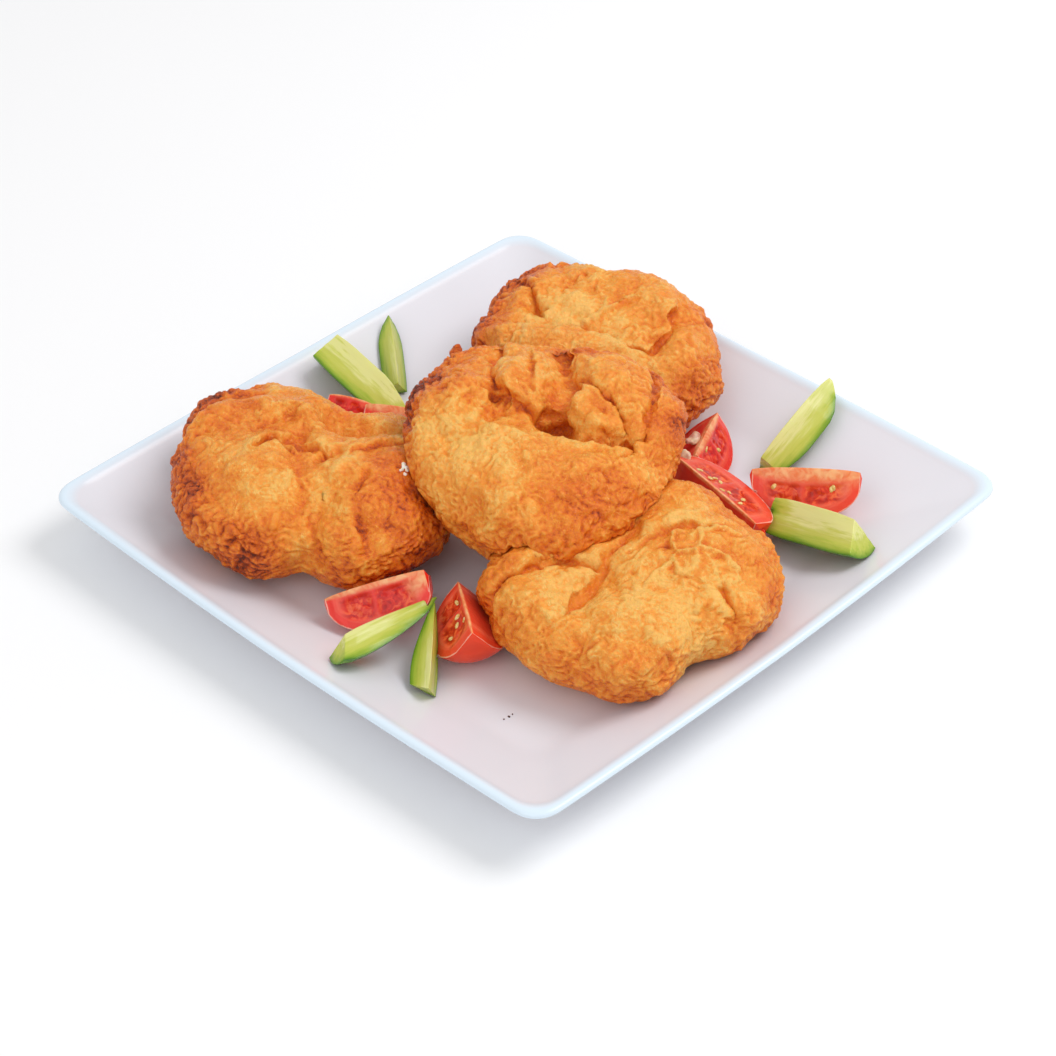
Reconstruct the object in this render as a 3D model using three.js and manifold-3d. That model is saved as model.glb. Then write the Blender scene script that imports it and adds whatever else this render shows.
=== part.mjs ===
// Cheese-filled fried dough on a square plate, with tomato and cucumber wedges.
// Millimetres, +Z up. The plate's foot stands on z = 0 and its sides run along X and Y.
import * as THREE from 'three';
import { mergeVertices } from 'three/addons/utils/BufferGeometryUtils.js';
import { ImprovedNoise } from 'three/addons/math/ImprovedNoise.js';
import Module from 'manifold-3d';

const wasm = await Module();
wasm.setup();
const noise = new ImprovedNoise();

// ---- driving dimensions ----
const plateHalf = 130;       // centre to the sharp corner of a side
const plateBow = 2.2;        // how far each side swells outward at its middle
const rimCorner = 10.9;      // corner radius of the rim, seen from above
const rimHeight = 24;        // table to the rim's corners
const rimDrop = 1.3;         // how much lower the rim is at mid side
const wellHalf = 92;         // half width of the flat well
const wellFloor = 9;         // table to the top of the well
const footHalf = 84;         // half width of the square foot
const footWidth = 6;
const underside = 4.2;       // table to the base inside the foot
const sideSteps = 6;
const cornerSteps = 5;

const gap = 0.4;             // clear space between things that touch
const steepest = 0.4;        // limits how far a sharp corner moves when a shape is swollen
const foodTurn = Math.PI / 4; // the food is laid out along the plate's diagonals

const radians = THREE.MathUtils.degToRad;
const { clamp, lerp, smoothstep } = THREE.MathUtils;
const bell = (distance, width) => Math.exp(-((distance / width) ** 2));

const finishes = {
  glaze: { color: 0xe9e5ea, roughness: 0.12, metalness: 0 },
  crust: { color: 0xd98a34, roughness: 0.62, metalness: 0 },
  tomato: { color: 0xd0342c, roughness: 0.22, metalness: 0 },
  cucumber: { color: 0xb9cf74, roughness: 0.3, metalness: 0 },
};
const materials = Object.fromEntries(
  Object.entries(finishes).map(([name, look]) => [name, new THREE.MeshStandardMaterial(look)]));

function geometryFrom(points, triangles) {
  const geometry = new THREE.BufferGeometry();
  geometry.setAttribute('position', new THREE.Float32BufferAttribute(points.flat(), 3));
  geometry.setIndex(triangles.flat());
  return geometry;
}

// Closed skin over rings of points that all have the same count, with a point at each end.
// The rings run anticlockwise as seen from the end.
function skinOver(start, rings, end) {
  const count = rings[0].length;
  const points = [start, ...rings.flat(), end];
  const last = points.length - 1;
  const triangles = [];
  for (let i = 0; i < count; i += 1) {
    const next = (i + 1) % count;
    triangles.push([0, 1 + next, 1 + i]);
    for (let ring = 0; ring < rings.length - 1; ring += 1) {
      const a = 1 + ring * count;
      const b = a + count;
      triangles.push([a + i, b + next, b + i], [a + i, a + next, b + next]);
    }
    const lastRing = last - count;
    triangles.push([last, lastRing + i, lastRing + next]);
  }
  return geometryFrom(points, triangles);
}

// ---- plate ----

// One square ring seen from above: four bowed sides joined by round corners.
function squareRing(half, bow, corner, z, drop) {
  const sideRadius = (half * half + bow * bow) / (2 * bow);
  const centre = sideRadius - half - bow;
  const inner = sideRadius - corner;
  const c = (-centre + Math.sqrt(2 * inner * inner - centre * centre)) / 2;
  const spread = Math.atan2(c, c + centre);
  const quarter = [];
  for (let i = 0; i < sideSteps; i += 1) {
    const a = lerp(-spread, spread, i / sideSteps);
    quarter.push([sideRadius * Math.sin(a), centre - sideRadius * Math.cos(a)]);
  }
  for (let i = 0; i < cornerSteps; i += 1) {
    const a = lerp(spread, Math.PI / 2 - spread, i / cornerSteps);
    quarter.push([c + corner * Math.sin(a), -c - corner * Math.cos(a)]);
  }
  const ring = [];
  for (let side = 0; side < 4; side += 1) {
    const turn = side * Math.PI / 2;
    for (const [x, y] of quarter) {
      const lower = drop * (1 - Math.abs(x * y) / (half * half));
      ring.push([
        x * Math.cos(turn) - y * Math.sin(turn),
        x * Math.sin(turn) + y * Math.cos(turn),
        z - lower,
      ]);
    }
  }
  return ring;
}

// The plate's section from the middle of the well, over the rim and back under to the foot:
// half width, height, and the share of the rim's drop that this line takes.
const wellToRim = [
  [wellHalf - 30, wellFloor, 0],
  [wellHalf, wellFloor, 0],
  [wellHalf + 4.5, wellFloor + 0.9, 0.05],
  [wellHalf + 9, wellFloor + 2.9, 0.15],
  [plateHalf - 5.6, rimHeight - 1.9, 0.9],
  [plateHalf - 3.8, rimHeight - 0.5, 1],
];
const overRim = [
  [plateHalf - 1.7, rimHeight, 1],
  [plateHalf - 0.4, rimHeight - 0.6, 1],
  [plateHalf, rimHeight - 1.8, 1],
  [plateHalf - 0.5, rimHeight - 3, 1],
];
const underRim = [
  [wellHalf + 12, wellFloor - 1.3, 0.15],
  [wellHalf + 3, underside + 0.7, 0.05],
  [footHalf, underside - 0.4, 0],
];
const foot = [
  [footHalf - 1, 0, 0],
  [footHalf - footWidth, 0, 0],
  [footHalf - footWidth - 1, underside, 0],
];

function plateGeometry() {
  const section = [...wellToRim, ...overRim, ...underRim, ...foot];
  const rings = section.map(([half, z, share]) => {
    const corner = Math.min(rimCorner, rimCorner - (plateHalf - half) * 0.04);
    return squareRing(half, plateBow * half / plateHalf, corner, z, rimDrop * share);
  }).reverse();
  return skinOver([0, 0, underside], rings, [0, 0, wellFloor]);
}

// Height of the plate's upper face under a point of the food's layout.
function plateTop(u, v) {
  const x = Math.abs(u - v) * Math.SQRT1_2;
  const y = Math.abs(u + v) * Math.SQRT1_2;
  const far = Math.max(x, y, 1);
  const near = Math.min(x, y);
  let half = far;
  if (far - near < rimCorner) {
    half = (far + near) / 2 + rimCorner - Math.sqrt(2 * rimCorner ** 2 - (far - near) ** 2) / 2;
  }
  half -= plateBow * far / plateHalf * (1 - (near / far) ** 2);
  const passed = wellToRim.filter(([ring]) => ring <= half).length;
  const outer = clamp(passed, 1, wellToRim.length - 1);
  const [h0, z0, share0] = wellToRim[outer - 1];
  const [h1, z1, share1] = wellToRim[outer];
  const t = clamp((half - h0) / (h1 - h0), 0, 1);
  return lerp(z0, z1, t) - rimDrop * lerp(share0, share1, t) * (1 - x * y / (half * half));
}

// ---- fried dough ----
// Each piece of dough is a thick round pillow. Its places are in its own plan: u to the right,
// v away, from its own middle. Lobes push the outline in or out at a heading in degrees.
// Humps and hollows move the upper face. Folds are grooves along a soft line, with one lip raised.

const doughDetail = 9;
const sideShare = 0.62;      // share of the points that lie above the widest line
const widest = Math.acos(1 - 2 * sideShare);
const reliefGrows = [-0.25, 0.35]; // heights on the section, 0 at the widest line, 1 on top
const softSteps = 12;        // steps in each fold's soft line
const lipReach = 1.3;        // where a fold's lip is highest, in widths of the fold
const grooveShare = 0.8;     // width of the groove itself, in widths of the fold
const craggy = [             // slow unevenness of the crust: size across, and height either way
  { size: 17, high: 2.6 },
  { size: 8, high: 1.4 },
];

const doughs = {
  dough_left: {
    at: [-78, -1, 29], radius: 55, thick: 42, tilt: [0, 0], squareness: 2.35, seed: 3,
    lobes: [
      { heading: 146, by: 5, wide: 26 }, { heading: 205, by: 2, wide: 22 },
      { heading: 74, by: -14, wide: 26 }, { heading: 262, by: -9, wide: 13 },
      { heading: 305, by: 6, wide: 26 }, { heading: 28, by: -9, wide: 24 },
    ],
    humps: [
      { at: [-27, -16], wide: 24, high: 5 }, { at: [26, -22], wide: 18, high: 4 },
      { at: [-38, 28], wide: 14, high: 6 }, { at: [2, 33], wide: 16, high: 3 },
      { at: [-16, -40], wide: 12, high: 3 }, { at: [-48, 2], wide: 14, high: 2 },
    ],
    hollows: [
      { at: [7, 13], wide: 6.5, deep: 11 }, { at: [14, 8], wide: 7, deep: 4 },
      { at: [-30, 15], wide: 10, deep: 3 }, { at: [13, 35], wide: 14, deep: 8 },
    ],
    folds: [
      { path: [[-10, 11], [-6, -4], [-2, -19]], wide: 5, deep: 5, lip: 2 },
      { path: [[-21, 14], [-14, 15], [-10, 11]], wide: 4, deep: 4, lip: 2.5 },
      { path: [[-52, 12], [-42, 24], [-27, 28]], wide: 5, deep: 4, lip: -2 },
      { path: [[16, 9], [26, 10], [36, 8]], wide: 5, deep: 3.5, lip: 1.5 },
      { path: [[3, -28], [6, -36], [4, -48]], wide: 6, deep: 4.5, lip: 1 },
    ],
  },
  dough_top: {
    at: [7, -10, 48.5], radius: 53.5, thick: 41, tilt: [12, -2], squareness: 2.45, seed: 11,
    lobes: [
      { heading: 130, by: 4, wide: 24 }, { heading: 345, by: -4, wide: 26 },
      { heading: 226, by: -4, wide: 22 }, { heading: 300, by: -2, wide: 20 },
      { heading: 268, by: 5, wide: 20 }, { heading: 70, by: -4, wide: 22 },
    ],
    humps: [
      { at: [-34, 12], wide: 17, high: 5 }, { at: [-10, -33], wide: 22, high: 6 },
      { at: [24, -34], wide: 16, high: 4.5 }, { at: [40, 8], wide: 16, high: 5 },
      { at: [-9, 20], wide: 8, high: 4 }, { at: [2, 13], wide: 7, high: 3 },
      { at: [24, 20], wide: 12, high: 5 }, { at: [-26, 36], wide: 12, high: 3 },
    ],
    hollows: [
      { at: [5, -5], wide: 6, deep: 13 }, { at: [9, 14], wide: 7, deep: 4 },
      { at: [33, -12], wide: 7, deep: 3 },
    ],
    folds: [
      { path: [[-19, 6], [-9, -1], [4, -7], [16, -13], [30, -14]], wide: 5.5, deep: 7, lip: 2 },
      { path: [[-15, 40], [-18, 24], [-19, 6]], wide: 5, deep: 5, lip: 1.5 },
      { path: [[7, 36], [8, 16], [5, -4]], wide: 5, deep: 5.5, lip: 2 },
      { path: [[10, 28], [15, 12], [22, 3], [30, -8]], wide: 4, deep: 3.5, lip: -2 },
      { path: [[-4, 34], [-4, 16], [-3, 4]], wide: 3.5, deep: 3, lip: 1 },
    ],
  },
  dough_right: {
    at: [35, -62, 27.5], radius: 54.5, thick: 39, tilt: [2, 0], squareness: 2.4, seed: 23,
    lobes: [
      { heading: 196, by: -1, wide: 24 }, { heading: 303, by: -9, wide: 16 },
      { heading: 268, by: 3, wide: 16 }, { heading: 0, by: 3, wide: 24 },
      { heading: 38, by: -6, wide: 20 }, { heading: 75, by: 2, wide: 16 },
      { heading: 130, by: -9, wide: 34 },
    ],
    humps: [
      { at: [24, 26], wide: 20, high: 5 }, { at: [32, -6], wide: 20, high: 5 },
      { at: [-38, -22], wide: 16, high: 3 }, { at: [0, -40], wide: 16, high: 4 },
      { at: [44, -22], wide: 9, high: 2 },
    ],
    hollows: [
      { at: [-14, -20], wide: 16, deep: 5 }, { at: [-10, 4], wide: 12, deep: 4 },
      { at: [-24, -20], wide: 6, deep: 2 }, { at: [14, -4], wide: 4, deep: 2 },
    ],
    folds: [
      { path: [[-2, 6], [-9, -4], [-12, -13], [-23, -28]], wide: 5.5, deep: 4, lip: -2.5 },
      { path: [[-52, -15], [-40, -10], [-27, -7], [-12, -5]], wide: 4.5, deep: 3.5, lip: 2 },
      { path: [[4, -2], [16, 4], [30, 4]], wide: 4, deep: 2, lip: 2 },
    ],
  },
  dough_back: {
    at: [31, 80, 29], radius: 48.5, thick: 41, tilt: [4, 0], squareness: 2.4, seed: 41,
    lobes: [
      { heading: 122, by: 6, wide: 24 }, { heading: 80, by: -7, wide: 16 },
      { heading: 36, by: -3, wide: 26 }, { heading: 170, by: 2, wide: 20 },
      { heading: 315, by: 3, wide: 26 }, { heading: 240, by: -4, wide: 30 },
    ],
    humps: [
      { at: [-26, 24], wide: 14, high: 4 }, { at: [22, 16], wide: 16, high: 4 },
      { at: [34, -24], wide: 14, high: 4 }, { at: [-14, -20], wide: 18, high: 4 },
      { at: [2, 32], wide: 12, high: 3 },
    ],
    hollows: [
      { at: [-24, 10], wide: 9, deep: 5 }, { at: [-12, 22], wide: 5, deep: 3 },
      { at: [6, 2], wide: 12, deep: 3 },
    ],
    folds: [
      { path: [[-34, 0], [-17, -3], [0, -11], [15, -22]], wide: 5, deep: 4.5, lip: -2.5 },
      { path: [[18, -20], [26, -10], [30, 2]], wide: 4, deep: 3, lip: 2 },
      { path: [[24, -44], [33, -46], [41, -42]], wide: 5, deep: 3, lip: 1 },
    ],
  },
};

const angleApart = (a, b) => ((a - b + 540) % 360) - 180;

function outlineRadius(dough, heading) {
  const pushes = dough.lobes.map((lobe) => lobe.by * bell(angleApart(heading, lobe.heading), lobe.wide));
  return dough.radius + pushes.reduce((sum, push) => sum + push, 0);
}

// How far a point lies from a soft line, and on which side: 1 on the line's left, -1 on its right.
function besideLine(line, u, v) {
  let nearest = { distance: Infinity, side: 1 };
  for (let i = 1; i < line.length; i += 1) {
    const [a, b] = [line[i - 1], line[i]];
    const along = [b.x - a.x, b.y - a.y];
    const way = [u - a.x, v - a.y];
    const t = clamp((along[0] * way[0] + along[1] * way[1]) / (along[0] ** 2 + along[1] ** 2), 0, 1);
    const distance = Math.hypot(way[0] - along[0] * t, way[1] - along[1] * t);
    if (distance < nearest.distance) {
      nearest = { distance, side: Math.sign(along[0] * way[1] - along[1] * way[0]) || 1 };
    }
  }
  return nearest;
}

function softLine(path) {
  const curve = new THREE.SplineCurve(path.map(([u, v]) => new THREE.Vector2(u, v)));
  return curve.getPoints(softSteps);
}

function topRelief(dough, lines, u, v) {
  let rise = 0;
  for (const { at, wide, high } of dough.humps) rise += high * bell(Math.hypot(u - at[0], v - at[1]), wide);
  for (const { at, wide, deep } of dough.hollows) rise -= deep * bell(Math.hypot(u - at[0], v - at[1]), wide);
  dough.folds.forEach(({ wide, deep, lip }, i) => {
    const { distance, side } = besideLine(lines[i], u, v);
    rise -= deep * bell(distance, wide * grooveShare);
    if (side === Math.sign(lip)) rise += Math.abs(lip) * bell(distance - wide * lipReach, wide);
  });
  return rise;
}

function crag({ x, y, z }, seed) {
  const layers = craggy.map(({ size, high }) =>
    high * noise.noise(x / size + seed, y / size - seed, z / size + 0.5));
  return layers.reduce((sum, layer) => sum + layer, 0);
}

// How far out and up a point of the unit ball goes on the pillow's section. More of the points
// are given to the part above the widest line.
function onSection(z) {
  const down = Math.acos(clamp(z, -1, 1));
  const slope = down < widest ? down / widest : 2 - (Math.PI - down) / (Math.PI - widest);
  return [Math.sin(slope * Math.PI / 2), Math.cos(slope * Math.PI / 2)];
}

function pillowPoint(dough, lines, ball) {
  const heading = (THREE.MathUtils.radToDeg(Math.atan2(ball.y, ball.x)) + 360) % 360;
  const [out, up] = onSection(ball.z);
  const power = 2 / dough.squareness;
  const reach = outlineRadius(dough, heading) * Math.abs(out) ** power;
  const height = Math.sign(up) * (dough.thick / 2) * Math.abs(up) ** power;
  const turn = radians(heading);
  const point = new THREE.Vector3(reach * Math.cos(turn), reach * Math.sin(turn), height);
  const flat = (dough.thick / 2 / dough.radius) ** 2;
  const outward = new THREE.Vector3(point.x * flat, point.y * flat, point.z).normalize();
  const relief = topRelief(dough, lines, point.x, point.y) * smoothstep(up, ...reliefGrows);
  return point.addScaledVector(outward, relief + crag(point, dough.seed));
}

function doughGeometry(dough) {
  const ball = new THREE.IcosahedronGeometry(1, doughDetail);
  ball.deleteAttribute('normal');
  ball.deleteAttribute('uv');
  const geometry = mergeVertices(ball, 1e-5);
  const lines = dough.folds.map(({ path }) => softLine(path));
  const position = geometry.attributes.position;
  const point = new THREE.Vector3();
  for (let i = 0; i < position.count; i += 1) {
    point.fromBufferAttribute(position, i);
    position.setXYZ(i, ...pillowPoint(dough, lines, point));
  }
  geometry.rotateX(radians(dough.tilt[0]));
  geometry.rotateY(radians(dough.tilt[1]));
  geometry.translate(...dough.at);
  return geometry;
}

// Food pressed on the plate goes flat where it would sink in.
function restOnPlate(geometry) {
  const position = geometry.attributes.position;
  for (let i = 0; i < position.count; i += 1) {
    const floor = plateTop(position.getX(i), position.getY(i)) + gap;
    position.setZ(i, Math.max(position.getZ(i), floor));
  }
  return geometry;
}

// ---- cutting one piece round another ----

function solidFrom(geometry) {
  return new wasm.Manifold(new wasm.Mesh({
    numProp: 3,
    vertProperties: new Float32Array(geometry.attributes.position.array),
    triVerts: new Uint32Array(geometry.index.array),
  }));
}

function geometryOf(solid) {
  const mesh = solid.getMesh();
  const geometry = new THREE.BufferGeometry();
  geometry.setAttribute('position', new THREE.BufferAttribute(new Float32Array(mesh.vertProperties), 3));
  geometry.setIndex(new THREE.BufferAttribute(new Uint32Array(mesh.triVerts), 1));
  return geometry;
}

// A copy whose every face stands proud by the gap: each corner moves out along its mean
// direction, further where the faces that meet there turn sharply.
function swollen(geometry) {
  const copy = geometry.clone();
  copy.computeVertexNormals();
  const { position, normal } = copy.attributes;
  const corners = copy.index.array;
  const sharpest = new Float32Array(position.count).fill(1);
  const face = new THREE.Triangle();
  const facing = new THREE.Vector3();
  const outward = new THREE.Vector3();
  for (let i = 0; i < corners.length; i += 3) {
    face.setFromAttributeAndIndices(position, corners[i], corners[i + 1], corners[i + 2]);
    face.getNormal(facing);
    for (const corner of corners.slice(i, i + 3)) {
      const turn = outward.fromBufferAttribute(normal, corner).dot(facing);
      sharpest[corner] = Math.min(sharpest[corner], turn);
    }
  }
  const point = new THREE.Vector3();
  for (let i = 0; i < position.count; i += 1) {
    outward.fromBufferAttribute(normal, i);
    point.fromBufferAttribute(position, i).addScaledVector(outward, gap / Math.max(sharpest[i], steepest));
    position.setXYZ(i, ...point);
  }
  return copy;
}

function cutRound(geometry, neighbours) {
  let solid = solidFrom(geometry);
  for (const neighbour of neighbours) solid = solid.subtract(solidFrom(swollen(neighbour)));
  const pieces = solid.decompose().sort((a, b) => b.volume() - a.volume());
  return geometryOf(pieces[0]);
}

// ---- tomato and cucumber wedges ----
// A wedge is drawn along X with its core edge on top and its skin below. It is laid between two
// places of the food's layout, from and to, rolled about its length and let down on the plate.
// An end that leans on its neighbour or on the plate's rim is propped up.

const skinSteps = 5;
const tomatoStations = 11;
const cucumberStations = 10;
const cutShares = [0.22, 0.62];   // where the points on a cut face lie, from the skin to the core
const seedHollow = 1.4;      // how far a tomato's seed chamber is sunk in its cut faces
const hollowGrows = [0.45, 0.9];  // how full a tomato's section is where the chamber starts and is deep
const coreCrown = 0.13;      // how far above its middle a tomato's core edge rises, in radii
const tipLow = 0.1;          // how far below its middle a tomato's tips lie, in radii
const fullStart = 0.85;      // power that rounds a tomato wedge's first end
const seedCore = 3;          // a cucumber wedge's core edge is cut off this far from its middle
const tipPower = 0.7;        // rounds the way from a cucumber wedge's tip to its full section

// One cross section: the round skin, then the two cut faces up to the core edge.
function wedgeSection(radius, angle, core, hollow) {
  const skin = [];
  for (let i = 0; i <= skinSteps; i += 1) {
    const a = lerp(-angle / 2, angle / 2, i / skinSteps);
    skin.push([radius * Math.sin(a), -radius * Math.cos(a)]);
  }
  const [edgeY, edgeZ] = skin[skinSteps];
  const face = cutShares.map((share) => [
    lerp(edgeY, 0, share) - hollow * Math.cos(angle / 2),
    lerp(edgeZ, -core, share) - hollow * Math.sin(angle / 2),
  ]);
  const otherFace = face.map(([y, z]) => [-y, z]).reverse();
  return [...skin, ...face, [0, -core], ...otherFace];
}

const lengthOf = ({ from, to }) => Math.hypot(from[0] - to[0], from[1] - to[1]);

function tomatoGeometry(wedge) {
  const { radius, angle, blunt } = wedge;
  const half = lengthOf(wedge) / 2;
  const rings = [];
  for (let i = 1; i < tomatoStations; i += 1) {
    const turn = Math.PI * i / tomatoStations;
    const x = -Math.cos(turn) * half;
    const round = Math.sin(turn) ** (x > 0 ? blunt : fullStart);
    const hollow = seedHollow * smoothstep(round, ...hollowGrows);
    const section = wedgeSection(radius * round, radians(angle), -coreCrown * radius * round, hollow);
    rings.push(section.map(([y, z]) => [x, y, z]));
  }
  const tip = -tipLow * radius;
  return skinOver([-half, 0, tip], rings, [half, 0, tip]);
}

function middleOf(points) {
  const total = points.reduce((sum, point) => sum.map((value, i) => value + point[i]), [0, 0, 0]);
  return total.map((value) => value / points.length);
}

// How full the section is at a share of the way from a tip to the end of its taper.
function taperAt(tip, way) {
  return lerp(tip, 1, Math.sin(clamp(way, 0, 1) * Math.PI / 2) ** tipPower);
}

// The section shrinks towards its core edge or its skin, by the share that pinch gives, so that
// edge stays straight. Each end's cut may slant across, and its rake cuts the core edge back.
function cucumberGeometry(wedge) {
  const { radius, angle, tips, tapers, pinch, slants, rakes } = wedge;
  const half = lengthOf(wedge) / 2;
  const section = wedgeSection(radius, radians(angle), seedCore, 0);
  const level = -lerp(seedCore, radius, pinch);
  const rings = [];
  for (let i = 0; i < cucumberStations; i += 1) {
    const t = i / (cucumberStations - 1);
    const full = taperAt(tips[0], t / tapers[0]) * taperAt(tips[1], (1 - t) / tapers[1]);
    rings.push(section.map(([y, z]) => {
      const across = y * full;
      const height = level + (z - level) * full;
      const back = radius + height;
      const start = -half + slants[0] * across + rakes[0] * back;
      const end = half + slants[1] * across - rakes[1] * back;
      return [lerp(start, end, t), across, height];
    }));
  }
  return skinOver(middleOf(rings[0]), rings, middleOf(rings.at(-1)));
}

// Height of a wedge's end: the plate under it, and what props it up there.
const endHeight = ([u, v], prop) => plateTop(u, v) + prop;

function lay(geometry, { from, to, roll, prop = [0, 0] }) {
  geometry.computeBoundingBox();
  const middle = geometry.boundingBox.getCenter(new THREE.Vector3());
  geometry.translate(0, 0, -middle.z);
  geometry.rotateX(radians(roll));
  const start = new THREE.Vector3(...from, endHeight(from, prop[0]));
  const end = new THREE.Vector3(...to, endHeight(to, prop[1]));
  const along = end.clone().sub(start);
  geometry.rotateY(-Math.atan2(along.z, Math.hypot(along.x, along.y)));
  geometry.rotateZ(Math.atan2(along.y, along.x));
  const centre = start.add(end).multiplyScalar(0.5);
  geometry.translate(centre.x, centre.y, centre.z);
  const position = geometry.attributes.position;
  let clearance = Infinity;
  for (let i = 0; i < position.count; i += 1) {
    const floor = plateTop(position.getX(i), position.getY(i)) + gap;
    clearance = Math.min(clearance, position.getZ(i) - floor);
  }
  geometry.translate(0, 0, -clearance);
  return geometry;
}

const tomatoes = {
  tomato_front_left: {
    from: [-75, -62], to: [-34.5, -61], roll: -4, radius: 16, angle: 86, blunt: 0.45, prop: [0, 14],
  },
  tomato_front: {
    from: [-26, -62], to: [-20.5, -94], roll: 3, radius: 19.5, angle: 88, blunt: 0.6, prop: [0, 1],
  },
  tomato_right_middle: {
    from: [59, 14], to: [89, -25], roll: 26, radius: 18, angle: 90, blunt: 0.6, prop: [5, 0],
  },
  tomato_right_back: { from: [64, 13.5], to: [75.5, 43.8], roll: 7, radius: 17, angle: 90, blunt: 0.8 },
  tomato_right: { from: [86, 4.5], to: [129, 0.5], roll: -3, radius: 18, angle: 84, blunt: 0.75 },
  tomato_back_left: { from: [-79, 56], to: [-60, 48], roll: -16, radius: 17, angle: 88, blunt: 0.7 },
  tomato_back_middle: { from: [-64, 48], to: [-36, 40], roll: -12, radius: 18, angle: 88, blunt: 0.6 },
};

// A cucumber wedge's tips are the shares of its section left at each end, and its tapers how far
// along it they reach.
const cucumbers = {
  cucumber_front_left: {
    from: [-73, -96], to: [-33.5, -66.5], roll: -30, radius: 14, angle: 64, prop: [0, 8], pinch: 0.2,
    tips: [0.8, 0.05], tapers: [0.25, 0.9], slants: [0, 0], rakes: [0.9, 0],
  },
  cucumber_front: {
    from: [-38, -104], to: [-36, -69], roll: 20, radius: 12.5, angle: 50, prop: [0, 8], pinch: 0.1,
    tips: [0.95, 0.05], tapers: [0.3, 0.9], slants: [0.3, 0], rakes: [-0.6, 0],
  },
  cucumber_right: {
    from: [94, -10], to: [127, -38], roll: -20, radius: 18.5, angle: 62, pinch: 0.5,
    tips: [0.9, 0.9], tapers: [0.3, 0.3], slants: [-0.1, 0], rakes: [0, 0.45],
  },
  cucumber_right_back: {
    from: [94, 24], to: [124.5, 58], roll: -20, radius: 16, angle: 60, prop: [0, 4], pinch: 0.2,
    tips: [0.7, 0.12], tapers: [0.4, 0.4], slants: [0, 0], rakes: [0, 0],
  },
  cucumber_back_left: {
    from: [-80, 90.5], to: [-44.5, 49], roll: -36, radius: 18, angle: 62, pinch: 0.6,
    tips: [0.9, 0.1], tapers: [0.3, 0.5], slants: [-0.25, 0], rakes: [0.1, 0],
  },
  cucumber_back: {
    from: [-51.5, 80], to: [-55.5, 118], roll: 8, radius: 10.5, angle: 58, pinch: 0.4,
    tips: [0.9, 0.05], tapers: [0.3, 0.4], slants: [0, 0], rakes: [0, 0],
  },
};

// ---- the plateful ----

const plated = new THREE.Group();
const food = new THREE.Group();
food.rotation.z = foodTurn;
plated.add(food);

function addPiece(group, name, geometry, material) {
  const flat = geometry.toNonIndexed();
  flat.computeVertexNormals();
  const mesh = new THREE.Mesh(flat, material);
  mesh.name = name;
  group.add(mesh);
}

addPiece(plated, 'plate', plateGeometry(), materials.glaze);

const shapes = {};
for (const [name, dough] of Object.entries(doughs)) shapes[name] = doughGeometry(dough);
for (const name of ['dough_left', 'dough_right', 'dough_back']) restOnPlate(shapes[name]);
shapes.dough_top = cutRound(shapes.dough_top, [shapes.dough_left, shapes.dough_right, shapes.dough_back]);

const placed = Object.values(shapes);
for (const [name, geometry] of Object.entries(shapes)) addPiece(food, name, geometry, materials.crust);
for (const [name, tomato] of Object.entries(tomatoes)) {
  const shape = cutRound(lay(tomatoGeometry(tomato), tomato), placed);
  placed.push(shape);
  addPiece(food, name, shape, materials.tomato);
}
for (const [name, cucumber] of Object.entries(cucumbers)) {
  const shape = cutRound(lay(cucumberGeometry(cucumber), cucumber), placed);
  placed.push(shape);
  addPiece(food, name, shape, materials.cucumber);
}

export default plated;
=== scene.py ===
import math
import bmesh
import bpy
import numpy as np
from mathutils import Matrix, Vector, noise
from mathutils.bvhtree import BVHTree


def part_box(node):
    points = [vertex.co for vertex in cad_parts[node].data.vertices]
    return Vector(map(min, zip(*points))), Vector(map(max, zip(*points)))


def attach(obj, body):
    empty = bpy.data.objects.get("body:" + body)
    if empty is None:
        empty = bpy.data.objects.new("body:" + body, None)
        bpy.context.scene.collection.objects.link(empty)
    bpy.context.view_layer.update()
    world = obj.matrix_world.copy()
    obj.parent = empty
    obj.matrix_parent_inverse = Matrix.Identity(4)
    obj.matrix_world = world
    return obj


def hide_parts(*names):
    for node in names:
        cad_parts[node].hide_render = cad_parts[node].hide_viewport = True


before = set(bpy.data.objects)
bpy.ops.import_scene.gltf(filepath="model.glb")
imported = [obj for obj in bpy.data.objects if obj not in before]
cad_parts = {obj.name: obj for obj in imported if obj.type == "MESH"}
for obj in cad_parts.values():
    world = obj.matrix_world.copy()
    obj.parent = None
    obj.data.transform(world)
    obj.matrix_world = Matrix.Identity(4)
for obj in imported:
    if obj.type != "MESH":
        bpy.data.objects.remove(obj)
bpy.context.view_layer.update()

mm = 0.001
foodTurn = math.radians(45)   # the food is laid out along the plate's diagonals


# camera: fitted to the plate's rim, long lens, no shift
camera = {
    "azimuth": 43.917, "elevation": 38.525, "distance": 1101.25, "lens": 97.8,
    "rimHeight": 24, "right": 0.44, "up": -15.745,
}


def addCamera():
    a, e = math.radians(camera["azimuth"]), math.radians(camera["elevation"])
    back = Vector((math.sin(a) * math.cos(e), -math.cos(a) * math.cos(e), math.sin(e)))
    right = Vector((math.cos(a), math.sin(a), 0))
    up = back.cross(right)
    place = Vector((0, 0, camera["rimHeight"])) + back * camera["distance"]
    place += right * camera["right"] + up * camera["up"]
    data = bpy.data.cameras.new("camera")
    data.lens = camera["lens"]
    data.sensor_width = 36
    data.clip_end = 10
    viewer = bpy.data.objects.new("camera", data)
    turn = Matrix((right, up, back)).transposed().to_4x4()
    viewer.matrix_world = Matrix.Translation(place * mm) @ turn
    bpy.context.collection.objects.link(viewer)
    bpy.context.scene.camera = viewer


addCamera()
print("camera placed")


# helpers shared by all pieces

def linearOf(hexColour):
    parts = [int(hexColour[i:i + 2], 16) / 255 for i in (1, 3, 5)]
    return tuple(p / 12.92 if p <= 0.04045 else ((p + 0.055) / 1.055) ** 2.4 for p in parts) + (1.0,)


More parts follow.
